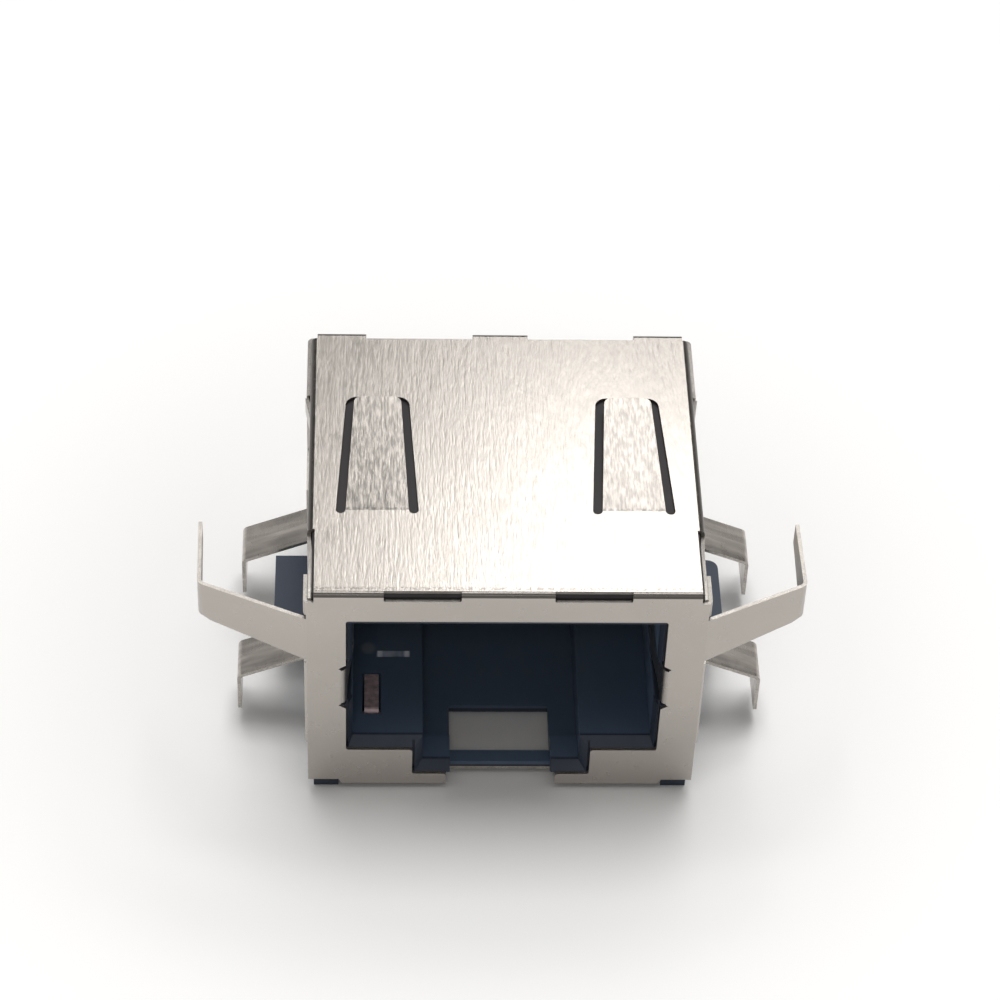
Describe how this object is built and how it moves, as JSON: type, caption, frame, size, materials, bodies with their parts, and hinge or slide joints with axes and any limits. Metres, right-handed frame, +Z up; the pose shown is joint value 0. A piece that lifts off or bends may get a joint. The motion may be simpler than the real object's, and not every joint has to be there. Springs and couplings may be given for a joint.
{
  "type": "shielded modular jack",
  "caption": "Low shielded modular jack that sits in a cut-out of a circuit board, with sprung grounding fingers, solder legs and wire contacts in a plastic housing.",
  "frame": {"origin": "under the middle of the jack, on the plane of its feet", "axes": "+X across the jack to the right as the plug sees it, +Y from the plug side to the back, +Z up from the board"},
  "size_m": [0.0239, 0.0148, 0.0118],
  "materials": {
    "shield_metal": "nickel-plated sheet, brushed on the top plate and satin on the front",
    "housing_plastic": "semi-gloss dark blue-black moulding",
    "carrier_plastic": "matt black moulding",
    "contact_gold": "gold-plated spring wire"
  },
  "bodies": {
    "root": {"shield": "shield_metal", "housing": "housing_plastic", "contact_carrier": "carrier_plastic", "contact_1": "contact_gold", "contact_2": "contact_gold", "contact_3": "contact_gold", "contact_4": "contact_gold", "contact_5": "contact_gold", "contact_6": "contact_gold", "contact_7": "contact_gold", "contact_8": "contact_gold"}
  },
  "joints": []
}
